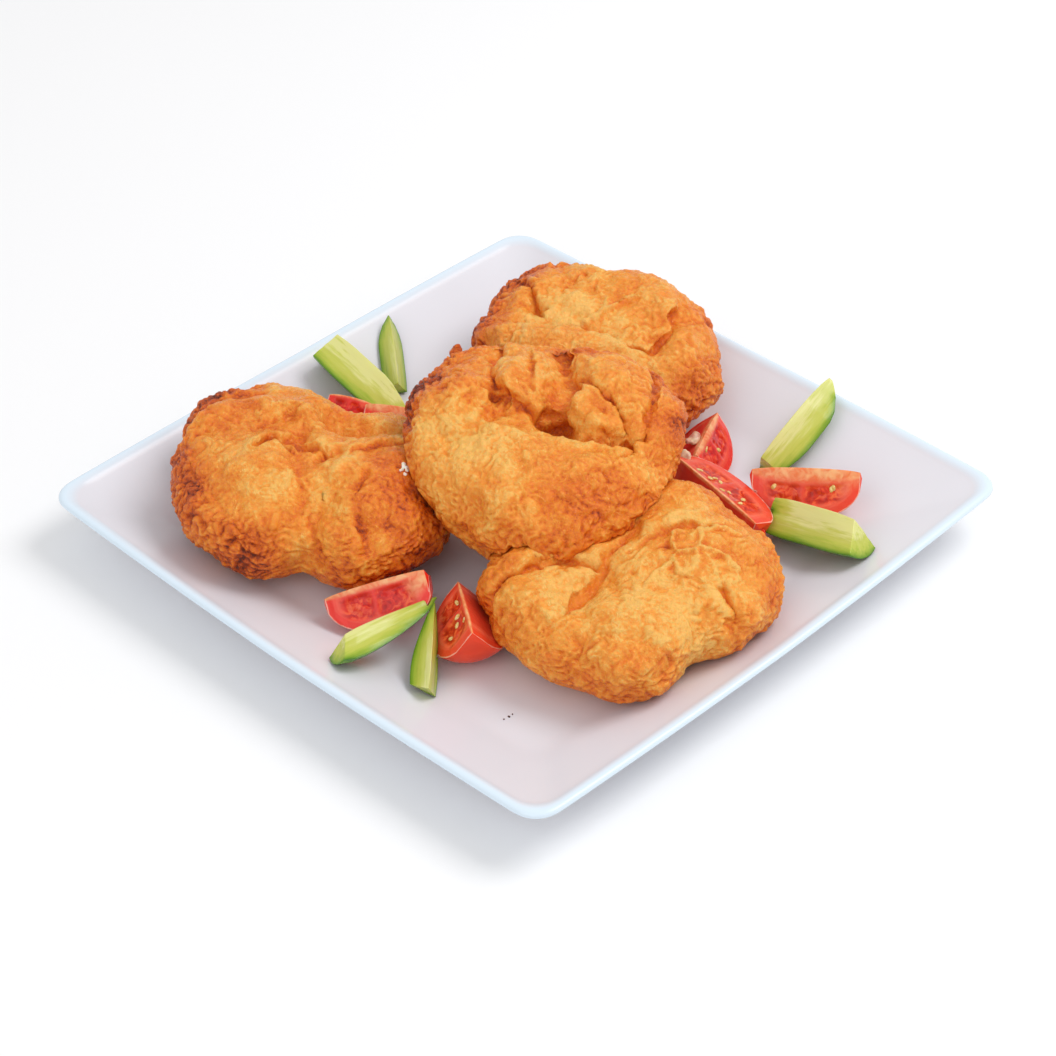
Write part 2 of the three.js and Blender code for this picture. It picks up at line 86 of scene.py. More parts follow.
def perMm(size):
    return 1 / (size * mm)    # a pattern's scale from its real size


def addNode(tree, kind, settings=None, inputs=None, stops=None):
    node = tree.nodes.new(kind)
    for name, value in (settings or {}).items():
        setattr(node, name, value)
    for socket, value in (inputs or {}).items():
        if isinstance(value, bpy.types.NodeSocket):
            tree.links.new(value, node.inputs[socket])
        else:
            node.inputs[socket].default_value = value
    if stops:
        ramp = node.color_ramp
        while len(ramp.elements) < len(stops):
            ramp.elements.new(0.5)
        for element, (at, colour) in zip(ramp.elements, stops):
            element.position = at
            element.color = linearOf(colour)
    return node


def newMaterial(name):
    material = bpy.data.materials.new(name)
    material.use_nodes = True
    tree = material.node_tree
    return material, tree, tree.nodes["Principled BSDF"]


def smoothStep(x, low, high):
    t = np.clip((x - low) / (high - low), 0, 1)
    return t * t * (3 - 2 * t)


def bell(distance, width):
    return np.exp(-(distance / width) ** 2)


def noiseAt(points, size, seed):
    scaled = points / size + np.array([seed * 1.7, -seed * 0.9, seed * 0.31])
    return np.array([noise.noise(p) for p in scaled.tolist()])


# distance to the nearest of scattered cells, in cell sizes
def cellsAt(points, size, seed):
    scaled = points / size + np.array([seed * 2.3, seed * 0.7, -seed * 1.1])
    return np.array([noise.voronoi(p)[0][0] for p in scaled.tolist()])


def placesOf(bm):
    return np.array([v.co[:] for v in bm.verts]) / mm


def normalsOf(bm):
    bm.normal_update()
    return np.array([v.normal[:] for v in bm.verts])


def moveTo(bm, places):
    for vert, place in zip(bm.verts, (places * mm).tolist()):
        vert.co = place


# mean of each point's neighbours, a few times over
def blurred(bm, values, rounds):
    ends = np.array([(e.verts[0].index, e.verts[1].index) for e in bm.edges])
    both = np.concatenate([ends, ends[:, ::-1]])
    count = np.bincount(both[:, 0], minlength=len(values))
    shape = values.reshape(len(values), -1).astype(float)
    for _ in range(rounds):
        columns = [np.bincount(both[:, 0], shape[both[:, 1], i], len(values)) for i in range(shape.shape[1])]
        shape = (shape + np.stack(columns, 1) / count[:, None]) / 2
    return shape.reshape(values.shape)


def soften(bm, factor):
    axes = {"use_axis_x": True, "use_axis_y": True, "use_axis_z": True}
    bmesh.ops.smooth_vert(bm, verts=bm.verts, factor=factor, **axes)


def splitEdges(bm, rounds):
    for _ in range(rounds):
        bmesh.ops.subdivide_edges(bm, edges=bm.edges, cuts=1, use_grid_fill=True)


def finePart(node, rounds, smooth):
    bm = bmesh.new()
    bm.from_mesh(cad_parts[node].data)
    bmesh.ops.remove_doubles(bm, verts=bm.verts, dist=0.01 * mm)
    for _ in range(rounds):
        splitEdges(bm, 1)
        if smooth:
            soften(bm, 0.5)
    bm.verts.index_update()
    return bm


def finished(bm, name, materials, nodes=(), sharp=None, marks=None):
    mesh = bpy.data.meshes.new(name)
    bm.to_mesh(mesh)
    bm.free()
    for material in materials:
        mesh.materials.append(material)
    for markName, values in (marks or {}).items():
        kind, field = ("FLOAT_VECTOR", "vector") if values.ndim == 2 else ("FLOAT", "value")
        mark = mesh.attributes.new(markName, kind, "POINT")
        mark.data.foreach_set(field, values.ravel().astype(np.float32))
    mesh.shade_smooth()
    if sharp:
        mesh.set_sharp_from_angle(angle=math.radians(sharp))
    piece = bpy.data.objects.new(name, mesh)
    bpy.context.collection.objects.link(piece)
    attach(piece, "root")
    if nodes:
        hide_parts(*nodes)
    return piece


def labelOf(node):
    return "".join(part.capitalize() for part in node.split("_"))


def treeOf(node):
    bm = bmesh.new()
    bm.from_mesh(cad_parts[node].data)
    tree = BVHTree.FromBMesh(bm)
    bm.free()
    return tree


nodeTrees = {name: treeOf(name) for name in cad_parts}


# how far each point may move out before it meets a neighbour
def roomAt(places, own, reach=3.0):
    room = np.full(len(places), reach)
    for name, tree in nodeTrees.items():
        if name == own:
            continue
        low, high = (np.array(corner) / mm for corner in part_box(name))
        near = np.all((places > low - reach) & (places < high + reach), axis=1)
        for i in np.flatnonzero(near):
            hit = tree.find_nearest(Vector(places[i]) * mm, reach * mm)
            if hit[0] is not None:
                room[i] = min(room[i], hit[3] / mm)
    return room


# porcelain plate, glazed: a hard clear gloss over a cool white body, with a pale blue painted reflection
# along the rim
plate = {
    "half": 130, "bow": 2.2, "corner": 10.9, "rim": 24, "drop": 1.3, "well": 92, "floor": 9,
    "foot": 84, "footWidth": 6, "under": 4.2, "steps": 176, "toCorners": 0.15,
}


def glazedPorcelain():
    material, tree, shader = newMaterial("glazed porcelain")
    # pale blue painted reflection on the rim
    rimReflection = addNode(tree, "ShaderNodeAttribute", {"attribute_name": "paintedRimReflection"})
    where = addNode(tree, "ShaderNodeTexCoord")
    cloud = addNode(tree, "ShaderNodeTexNoise", inputs={
        "Vector": where.outputs["Object"], "Scale": perMm(60), "Detail": 2.0})
    body = addNode(tree, "ShaderNodeValToRGB", inputs={"Fac": cloud.outputs["Fac"]}, stops=[
        (0.3, "#E0DFE6"), (0.7, "#E5E4EB")])
    colour = addNode(tree, "ShaderNodeMix", {"data_type": "RGBA"}, {
        0: rimReflection.outputs["Fac"], 6: body.outputs["Color"], 7: linearOf("#DCEBF7")})
    tree.links.new(colour.outputs[2], shader.inputs["Base Color"])
    wave = addNode(tree, "ShaderNodeTexNoise", inputs={
        "Vector": where.outputs["Object"], "Scale": perMm(22), "Detail": 1.0})
    bump = addNode(tree, "ShaderNodeBump", inputs={
        "Height": wave.outputs["Fac"], "Strength": 0.04, "Distance": 0.4 * mm})
    tree.links.new(bump.outputs["Normal"], shader.inputs["Normal"])
    shader.inputs["Roughness"].default_value = 0.2
    shader.inputs["IOR"].default_value = 1.45
    return material


# radius of the square's outline at an angle, for a ring of one half width
def squareReach(half, angle):
    bow = plate["bow"] * half / plate["half"]
    corner = plate["corner"] - (plate["half"] - half) * 0.04
    side = (half * half + bow * bow) / (2 * bow)
    centre = side - half - bow
    inner = side - corner
    c = (-centre + math.sqrt(2 * inner * inner - centre * centre)) / 2
    turn = math.atan2(c, c + centre)
    meet = math.atan2(side * math.sin(turn), side * math.cos(turn) - centre)
    part = abs((angle + math.pi / 4) % (math.pi / 2) - math.pi / 4)
    if part < meet:
        return -centre * math.cos(part) + math.sqrt(side * side - (centre * math.sin(part)) ** 2)
    both = math.sin(part) + math.cos(part)
    return c * both + math.sqrt(max(corner * corner - c * c * (2 - both * both), 0))


def makePlate():
    p = plate
    half, rim, well, low, foot, under = p["half"], p["rim"], p["well"], p["floor"], p["foot"], p["under"]
    section = [
        (0, low, 0), (30, low, 0), (62, low, 0), (80, low, 0), (well - 4, low, 0), (well, low + 0.05, 0),
        (well + 4.5, low + 0.9, 0.05), (well + 9, low + 2.9, 0.15), (well + 20, low + 7.3, 0.5),
        (half - 7.6, rim - 2.8, 0.86), (half - 5.6, rim - 1.9, 0.9), (half - 3.8, rim - 0.5, 1),
        (half - 1.7, rim, 1), (half - 0.4, rim - 0.6, 1), (half, rim - 1.8, 1), (half - 0.5, rim - 3, 1),
        (well + 24, low + 6.2, 0.5), (well + 12, low - 1.3, 0.15), (well + 3, under + 0.7, 0.05),
        (foot + 0.2, under - 0.4, 0), (foot - 0.4, 1.0, 0), (foot - 1.2, 0, 0),
        (foot - p["footWidth"] + 0.4, 0, 0), (foot - p["footWidth"] - 0.4, 1.0, 0),
        (foot - p["footWidth"] - 1.4, under, 0), (50, under, 0), (0, under, 0),
    ]
    bm = bmesh.new()
    verts = [bm.verts.new((x * mm, 0, z * mm)) for x, z, share in section]
    edges = [bm.edges.new(pair) for pair in zip(verts, verts[1:])]
    bmesh.ops.spin(
        bm, geom=verts + edges, cent=(0, 0, 0), axis=(0, 0, 1), angle=math.tau, steps=p["steps"],
        use_merge=True)
    bmesh.ops.remove_doubles(bm, verts=bm.verts, dist=0.001 * mm)
    shares = {(round(x, 2), round(z, 2)): share for x, z, share in section}
    rings = placesOf(bm)
    # where the rim's painted blue reflection lies
    rimReflection = smoothStep(np.hypot(rings[:, 0], rings[:, 1]), half - 5.4, half - 2.8)
    for vert in bm.verts:
        x, y, z = (n / mm for n in vert.co)
        ring = math.hypot(x, y)
        if ring < 0.01:
            continue
        angle = math.atan2(y, x)
        angle += p["toCorners"] * math.sin(4 * angle)   # more points go to the corners
        reach = squareReach(ring, angle)
        u, v = reach * math.cos(angle), reach * math.sin(angle)
        share = shares.get((round(ring, 2), round(z, 2)), 0)
        drop = p["drop"] * share * (1 - min(abs(u * v) / (ring * ring), 1))
        vert.co = (u * mm, v * mm, (z - drop) * mm)
    bmesh.ops.recalc_face_normals(bm, faces=bm.faces)
    bm.verts.index_update()
    piece = finished(
        bm, "platePiece", [glazedPorcelain()], ["plate"], marks={"paintedRimReflection": rimReflection})
    smooth = piece.modifiers.new("smooth", "SUBSURF")
    smooth.levels = smooth.render_levels = 1


makePlate()
print("plate made")


# fried dough crust: dry, lightly oiled, golden where thin and red brown where it fried longest, plus painted
# shade in folds
crust = {
    "freckle": 1.1, "patch": 12, "grain": 0.7, "pimple": 1.9, "frizz": 3.4,   # sizes in mm
    "stops": [
        (0.0, "#FAC064"), (0.16, "#F8A440"), (0.36, "#F08C2A"), (0.55, "#E47018"),
        (0.74, "#C2500E"), (0.9, "#8A300A"), (1.0, "#521C08"),
    ],
}


def friedCrust():
    material, tree, shader = newMaterial("fried dough crust")
    where = addNode(tree, "ShaderNodeTexCoord").outputs["Object"]
    # the browning value is crust colour with painted shade mixed in
    brownAndShade = addNode(tree, "ShaderNodeAttribute", {"attribute_name": "browningAndShade"}).outputs["Fac"]
    patch = addNode(tree, "ShaderNodeTexNoise", inputs={
        "Vector": where, "Scale": perMm(crust["patch"]), "Detail": 5.0, "Roughness": 0.65})
    freckle = addNode(tree, "ShaderNodeTexNoise", inputs={
        "Vector": where, "Scale": perMm(crust["freckle"]), "Detail": 5.0, "Roughness": 0.7})
    patched = addNode(tree, "ShaderNodeMath", {"operation": "MULTIPLY_ADD"}, {
        0: patch.outputs["Fac"], 1: 0.34, 2: -0.17})
    freckled = addNode(tree, "ShaderNodeMath", {"operation": "MULTIPLY_ADD"}, {
        0: freckle.outputs["Fac"], 1: 0.8, 2: -0.4})
    first = addNode(tree, "ShaderNodeMath", {"operation": "ADD"}, {0: brownAndShade, 1: patched.outputs[0]})
    second = addNode(tree, "ShaderNodeMath", {"operation": "ADD"}, {
        0: first.outputs[0], 1: freckled.outputs[0]})
    # thin pale strands of batter that fried crisp on the surface
    strand = addNode(tree, "ShaderNodeTexNoise", inputs={
        "Vector": where, "Scale": perMm(crust["frizz"]), "Detail": 2.5, "Distortion": 1.4})
    crest = addNode(tree, "ShaderNodeMath", {"operation": "PINGPONG"}, {0: strand.outputs["Fac"], 1: 0.5})
    frizz = addNode(tree, "ShaderNodeMapRange", {"interpolation_type": "SMOOTHSTEP"}, {
        "Value": crest.outputs[0], "From Min": 0.445, "From Max": 0.5})
    total = addNode(tree, "ShaderNodeMath", {"operation": "MULTIPLY_ADD", "use_clamp": True}, {
        0: frizz.outputs[0], 1: -0.14, 2: second.outputs[0]})
    colour = addNode(tree, "ShaderNodeValToRGB", inputs={"Fac": total.outputs[0]}, stops=crust["stops"])
    tree.links.new(colour.outputs["Color"], shader.inputs["Base Color"])
    grain = addNode(tree, "ShaderNodeTexNoise", inputs={
        "Vector": where, "Scale": perMm(crust["grain"]), "Detail": 4.0, "Roughness": 0.7})
    pimple = addNode(tree, "ShaderNodeTexVoronoi", {"feature": "SMOOTH_F1"}, {
        "Vector": where, "Scale": perMm(crust["pimple"]), "Smoothness": 0.4})
    pebbled = addNode(tree, "ShaderNodeMath", {"operation": "MULTIPLY_ADD"}, {
        0: pimple.outputs["Distance"], 1: -0.7, 2: grain.outputs["Fac"]})
    frizzed = addNode(tree, "ShaderNodeMath", {"operation": "MULTIPLY_ADD"}, {
        0: frizz.outputs[0], 1: 0.5, 2: pebbled.outputs[0]})
    bump = addNode(tree, "ShaderNodeBump", inputs={
        "Height": frizzed.outputs[0], "Strength": 0.6, "Distance": 0.8 * mm})
    tree.links.new(bump.outputs["Normal"], shader.inputs["Normal"])
    oil = addNode(tree, "ShaderNodeMapRange", inputs={
        "Value": freckle.outputs["Fac"], "From Min": 0.4, "From Max": 0.62, "To Min": 0.14, "To Max": 0.5})
    tree.links.new(oil.outputs[0], shader.inputs["Roughness"])
    shader.inputs["IOR"].default_value = 1.4
    shader.inputs["Subsurface Weight"].default_value = 0.16
    shader.inputs["Subsurface Radius"].default_value = (1.0, 0.45, 0.15)
    shader.inputs["Subsurface Scale"].default_value = 2 * mm
    return material


crustMaterial = friedCrust()

# places are in each dough's own plan, u to the right and v away, in millimetres from its middle.
# beaded: heading in degrees, width and strength. creases: path, width, depth, rise of the lip, whose
# sign is its side, and its lean over the crease. pits: place, width and depth. pale and dark: place,
# width and strength. threads: paths of thin strands of batter.
doughs = {
    "dough_left": {
        "at": (-78, -1), "radius": 55, "seed": 3, "tone": 0.35, "rough": 0.9,
        "beaded": [(150, 45, 1.0), (215, 40, 0.6), (80, 25, 0.5)],
        "creases": [
            ([(-12, -4), (-9, -14), (-6, -26), (-5, -34)], 3.2, 1.2, 0.5, 0.4),
            ([(-23, -7), (-18, -2), (-12, -6)], 1.5, 3.0, 1.9, 1.8),
            ([(-12, -3), (-4, -5), (1, -11)], 1.6, 1.4, 0.9, 0.6),
            ([(-53, 14), (-44, 24), (-34, 30), (-24, 32)], 2.6, 1.4, -1.0, 0.8),
            ([(12, -12), (20, -8), (30, -3)], 1.6, 1.2, 0.8, 0.6),
            ([(18, -26), (15, -36), (15, -44), (19, -52)], 2.4, 1.2, -0.6, 0.4),
            ([(1, -38), (0, -45), (-2, -54)], 2.6, 1.4, 0.8, 0.4),
        ],
        "pits": [((4, -11), 4.4, 7.0), ((-47, 5), 2, 1.0)],
        "pale": [
            ((10, -16), 8, 0.22), ((-4, -28), 14, 0.16), ((-28, -14), 14, 0.12), ((18, 4), 12, 0.14),
            ((-30, -32), 10, 0.1),
        ],
        # the dark spots at (-18, -4) and (3, -13) are painted shade in the overhung crease and the deep pit
        "dark": [
            ((28, -36), 15, 0.3), ((-40, 26), 14, 0.22), ((-18, -4), 4, 0.3), ((3, -13), 2.8, 0.3),
            ((-22, -46), 12, 0.16), ((44, -26), 12, 0.2), ((-50, -10), 12, 0.1),
        ],
        "threads": [],
    },
    "dough_top": {
        "at": (7, -10), "radius": 53.5, "seed": 11, "tone": 0.3, "rough": 1.0,
        "beaded": [(150, 40, 1.0), (75, 40, 0.8), (10, 25, 0.4)],
        "creases": [
            ([(-19, 6), (-9, -1), (3, -8), (14, -14), (30, -15)], 2.4, 3.6, -1.4, 2.0),
            ([(-15, 43), (-18, 30), (-19, 14), (-16, 5)], 1.7, 1.2, 0.9, 1.0),
            ([(8, 33), (8, 20), (10, 8), (5, -5)], 1.7, 1.9, 0.9, 1.2),
            ([(12, 32), (11, 18), (20, 6), (29, -9)], 1.5, 1.8, -0.9, 1.1),
            ([(-4, 34), (-5, 20), (-4, 6)], 1.4, 1.0, 0.7, 0.7),
            ([(42, 24), (41, 10), (38, -8), (28, -24)], 1.8, 2.0, 1.0, 0.9),
        ],
        "pits": [
            ((3, -5), 5.0, 6.5), ((2, 6), 11, 3.6), ((-30, 2), 2, 1.2), ((-26, 36), 15, 3.5),
            ((4, 41), 14, 2.5),
        ],
        "pale": [
            ((-24, -18), 14, 0.2), ((2, -24), 14, 0.12), ((0, 24), 9, 0.14), ((-40, -6), 10, 0.1),
            ((24, -22), 12, 0.08),
        ],
        # the dark spot at (4, -8) is painted shade in the deep pit
        "dark": [
            ((24, -42), 14, 0.2), ((4, -8), 4, 0.34), ((46, -6), 8, 0.22), ((-44, 22), 12, 0.28),
            ((42, 26), 10, 0.22), ((16, 40), 12, 0.12), ((6, -46), 12, 0.14),
        ],
        "threads": [],
    },
    "dough_right": {
        "at": (35, -62), "radius": 54.5, "seed": 23, "tone": 0.29, "rough": 0.9,
        "beaded": [(20, 40, 0.4), (300, 30, 0.2)],
        "creases": [
            ([(-2, 2), (-8, -4), (-11, -13), (-22, -29)], 1.9, 2.0, -1.2, 0.8),
            ([(-51, -18), (-40, -11), (-27, -7), (-12, -6)], 1.6, 2.0, 1.0, 0.9),
            ([(4, -2), (16, 4), (30, 4)], 1.4, 1.4, 0.8, 0.5),
            ([(44, -40), (38, -34), (34, -24)], 2.4, 2.6, 0.8, 0.6),
        ],
        "pits": [((13, -6), 2.2, 1.6), ((-46, -26), 2, 1.0)],
        "pale": [
            ((-14, -22), 16, 0.2), ((-22, -21), 7, 0.08), ((4, -10), 12, 0.12), ((22, -38), 20, 0.24),
            ((-40, -20), 10, 0.06), ((40, -14), 14, 0.1),
        ],
        "dark": [((-50, -8), 10, 0.2), ((34, 32), 12, 0.1), ((14, -4), 4, 0.1), ((-34, 6), 16, 0.2)],
        "threads": [
            [(15, -13), (18, -17), (24, -16), (25, -11), (19, -10), (16, -12)],
            [(24, -10), (27, -3), (26, 2)], [(16, -14), (10, -18), (7, -23)],
            [(27, -8), (33, -12), (38, -14)], [(18, -10), (15, -5), (17, 1)], [(28, 2), (34, 3), (40, 1)],
        ],
    },
    "dough_back": {
        "at": (31, 80), "radius": 48.5, "seed": 41, "tone": 0.25, "rough": 1.0,
        "beaded": [(100, 40, 1.0), (165, 35, 1.0), (40, 40, 0.7), (340, 30, 0.4)],
        "creases": [
            ([(-34, 0), (-17, -4), (0, -12), (14, -23)], 1.9, 2.2, -1.2, 1.0),
            ([(18, -22), (26, -12), (30, 2)], 1.5, 1.8, 1.0, 0.8),
            ([(-31, 27), (-27, 18), (-24, 8)], 2.2, 2.6, 1.0, 0.8),
            ([(24, -44), (32, -52), (41, -46)], 1.8, 2.0, 1.0, 0.6),
        ],
        "pits": [((-25, 9), 4, 2.4), ((-13, 21), 1.6, 1.6), ((-6, 28), 1.6, 1.2), ((-44, 4), 2, 1.2)],
        "pale": [((-10, 2), 14, 0.14), ((10, -12), 10, 0.16), ((-28, 4), 8, 0.1)],
        "dark": [
            ((-30, 34), 14, 0.26), ((-46, 10), 10, 0.3), ((20, 36), 12, 0.18), ((40, 8), 10, 0.12),
            ((30, -38), 12, 0.14),
        ],
        "threads": [[(0, 2), (8, 8), (16, 10)], [(-6, -4), (0, 2), (2, 10)]],
    },
}


# distance to a path and the way towards it, and which side the points are on
def besidePath(plan, path):
    nearest = np.full(len(plan), 1e9)
    side = np.ones(len(plan))
    towards = np.zeros_like(plan)
    for a, b in zip(np.array(path[:-1], float), np.array(path[1:], float)):
        along = b - a
        way = plan - a
        t = np.clip(way @ along / (along @ along), 0, 1)
        off = way - t[:, None] * along
        distance = np.hypot(off[:, 0], off[:, 1])
        closer = distance < nearest
        nearest[closer] = distance[closer]
        side[closer] = np.sign(along[0] * way[closer, 1] - along[1] * way[closer, 0])
        towards[closer] = -off[closer] / np.maximum(distance[closer], 1e-6)[:, None]
    return nearest, side, towards


def softPath(path, steps=6):
    points = [np.array(p, float) for p in path]
    points = [2 * points[0] - points[1], *points, 2 * points[-1] - points[-2]]
    soft = []
    for a, b, c, d in zip(points, points[1:], points[2:], points[3:]):
        for i in range(steps):
            t = i / steps
            curve = (2 * a - 5 * b + 4 * c - d) * t ** 2 + (3 * b - a - 3 * c + d) * t ** 3
            soft.append(0.5 * (2 * b + (c - a) * t + curve))
    return [*soft, points[-2]]


turnCos, turnSin = math.cos(foodTurn), math.sin(foodTurn)
toLayout = np.array([[turnCos, -turnSin], [turnSin, turnCos]])   # rows times this turn into the layout


def toPlan(places, at):
    return places[:, :2] @ toLayout - np.array(at)


def sculptFolds(bm, dough):
    places, normals = placesOf(bm), normalsOf(bm)
    plan = toPlan(places, dough["at"])
    top = smoothStep(normals[:, 2], 0.0, 0.5)
    wobble = np.stack([noiseAt(places, 7, dough["seed"] + 5), noiseAt(places, 7, dough["seed"] + 9)], 1)
    plan = plan + wobble * 2.4          # keeps the folds from looking drawn
    rise = np.zeros(len(places))
    slide = np.zeros((len(places), 2))
    # painted shade in the creases and pits, and paler strands of batter, returned for the crust colour
    groove = np.zeros(len(places))
    for path, wide, deep, lipRise, over in dough["creases"]:
        distance, side, towards = besidePath(plan, softPath(path))
        rise -= deep * bell(distance, wide) * top
        groove = np.maximum(groove, bell(distance, wide * 0.9) * top)
        lip = (side == np.sign(lipRise)) * bell(distance - wide * 1.9, wide * 1.4) * top
        rise += abs(lipRise) * lip
        slide += towards * (over * lip)[:, None]
    for at, wide, deep in dough["pits"]:
        away = np.hypot(*(plan - np.array(at)).T)
        rise -= deep * bell(away, wide) * top
        groove = np.maximum(groove, bell(away, wide * 0.8) * top)
    for path in dough["threads"]:
        distance, side, towards = besidePath(plan, softPath(path))
        rise += 1.4 * bell(distance, 0.9) * top
        # the strand itself is paler crust, with a line of painted shade beside it
        groove -= 1.3 * bell(distance, 0.8) * top - 0.5 * bell(distance - 2.0, 0.7) * top
    places += normals * rise[:, None]
    places[:, :2] += slide @ toLayout.T
    moveTo(bm, places)
    return groove


# how wide each kind of bump in the crust is and how far it stands out, in millimetres
relief = {
    "puff": (13, 1.7), "swell": (7, 1.0), "fold": (8, 1.1), "wrinkle": (3.6, 0.6, 0.9),
    "grit": (1.6, 0.45, 0.3), "blister": (5.5, 0.6), "bead": (3.4, 1.2, 3.0), "bend": (7, 2.6),
}
# how much darker each cause makes the crust; the crease and underside weights paint shade, the rest is
# browner crust
brownsAndShades = {"crisp": 0.12, "beaded": 0.3, "underside": 0.2, "cloud": 0.22, "patch": 0.16, "groove": 0.12}


# puffs, blisters and beads of the crust, coarser where it is crisp
def sculptCrust(bm, name, dough, crisp, beaded):
    places, normals = placesOf(bm), normalsOf(bm)
    seed = dough["seed"]
    bendSize, bendFar = relief["bend"]
    bend = np.stack([noiseAt(places, bendSize, seed + 40 + i) for i in range(3)], 1)
    bent = places + bend * bendFar
    patchy = smoothStep(noiseAt(places, 15, seed + 4), -0.2, 0.3)
    puffSize, puffRise = relief["puff"]
    swellSize, swellRise = relief["swell"]
    rise = noiseAt(places, puffSize, seed) * puffRise + noiseAt(bent, swellSize, seed + 12) * swellRise
    foldSize, foldRise = relief["fold"]
    rise += (np.abs(noiseAt(bent, foldSize, seed + 2)) - 0.2) * foldRise
    wrinkleSize, wrinkleRise, wrinkleMore = relief["wrinkle"]
    rise += (np.abs(noiseAt(bent, wrinkleSize, seed + 3)) - 0.2) * (wrinkleRise + wrinkleMore * patchy)
    gritSize, gritRise, gritMore = relief["grit"]
    rise += noiseAt(bent, gritSize, seed + 6) * (gritRise + gritMore * crisp)
    blisterSize, blisterRise = relief["blister"]
    blister = np.clip(cellsAt(bent, blisterSize, seed), 0, 1)
    rise += bell(blister, 0.32) * blisterRise * patchy
    beadSize, beadRise, beadMore = relief["bead"]
    bead = np.clip(cellsAt(bent, beadSize, seed + 1), 0, 1)
    crispHere = crisp * smoothStep(noiseAt(places, 9, seed + 8), -0.5, 0.1)
    rise += (0.5 - bead) * (beadRise * crispHere + beadMore * beaded)
    rise *= dough["rough"]
    room = roomAt(places, name)
    rise = np.where(rise > 0, np.minimum(rise, np.maximum(room / 2 - 0.1, 0)), rise)
    rise *= smoothStep(normals[:, 2], -0.95, -0.5) * 0.8 + 0.2
    places += normals * rise[:, None]
    moveTo(bm, places)


# crust colour value: browning from crisp edges, beads and random tone, plus painted shade in creases, pits,
# hollows and undersides and painted light on ridges
def browningAndShadeOf(bm, dough, crisp, beaded, groove):
    places, normals = placesOf(bm), normalsOf(bm)
    plan = toPlan(places, dough["at"])
    soft = blurred(bm, places, 4)
    hollow = np.sum((soft - places) * normals, axis=1)
    wide = blurred(bm, places, 26)
    sunk = np.sum((wide - places) * normals, axis=1)
    value = np.full(len(places), dough["tone"])
    value += brownsAndShades["crisp"] * crisp + brownsAndShades["beaded"] * beaded + brownsAndShades["groove"] * groove
    # painted shade on the faces that look down
    value += brownsAndShades["underside"] * smoothStep(-normals[:, 2], -0.2, 0.5)
    value += brownsAndShades["cloud"] * noiseAt(places, 17, dough["seed"] + 20)
    value += brownsAndShades["patch"] * noiseAt(places, 6, dough["seed"] + 21)
    # painted shade in hollows and painted light on ridges, from how far each point lies below its neighbours
    value += np.clip(hollow * 0.5, -0.09, 0.14) + np.clip(sunk * 0.1, -0.06, 0.1)
    for at, wide, strength in dough["pale"]:
        value -= strength * bell(np.hypot(*(plan - np.array(at)).T), wide)
    # wide dark spots are browner crust; the small ones in pits and creases are painted shade
    for at, wide, strength in dough["dark"]:
        value += strength * bell(np.hypot(*(plan - np.array(at)).T), wide)
    return np.clip(value, 0, 1)


# the stretches of the outline that fried to crisp brown beads
def beadedAt(plan, dough):
    heading = np.degrees(np.arctan2(plan[:, 1], plan[:, 0]))
    share = np.zeros(len(plan))
    for middle, wide, strength in dough["beaded"]:
        share = np.maximum(share, strength * bell((heading - middle + 540) % 360 - 180, wide))
    return share


def makeDough(name, dough):
    bm = finePart(name, 3, smooth=True)
    places = placesOf(bm)
    plan = toPlan(places, dough["at"])
    out = np.hypot(*plan.T) / dough["radius"]
    crisp = smoothStep(out + 0.12 * noiseAt(places, 12, dough["seed"] + 30), 0.82, 1.05)
    edge = out + 0.1 * noiseAt(places, 8, dough["seed"] + 33)
    beaded = beadedAt(plan, dough) * smoothStep(edge, 0.84, 0.98)
    groove = sculptFolds(bm, dough)
    sculptCrust(bm, name, dough, crisp, beaded)
    browningAndShade = browningAndShadeOf(bm, dough, crisp, beaded, groove)
    crustTrees[name] = BVHTree.FromBMesh(bm)
    marks = {"browningAndShade": browningAndShade}
    finished(bm, "crust" + labelOf(name), [crustMaterial], [name], marks=marks)


crustTrees = {}
for doughName, doughSettings in doughs.items():
    makeDough(doughName, doughSettings)
    print("made", doughName)


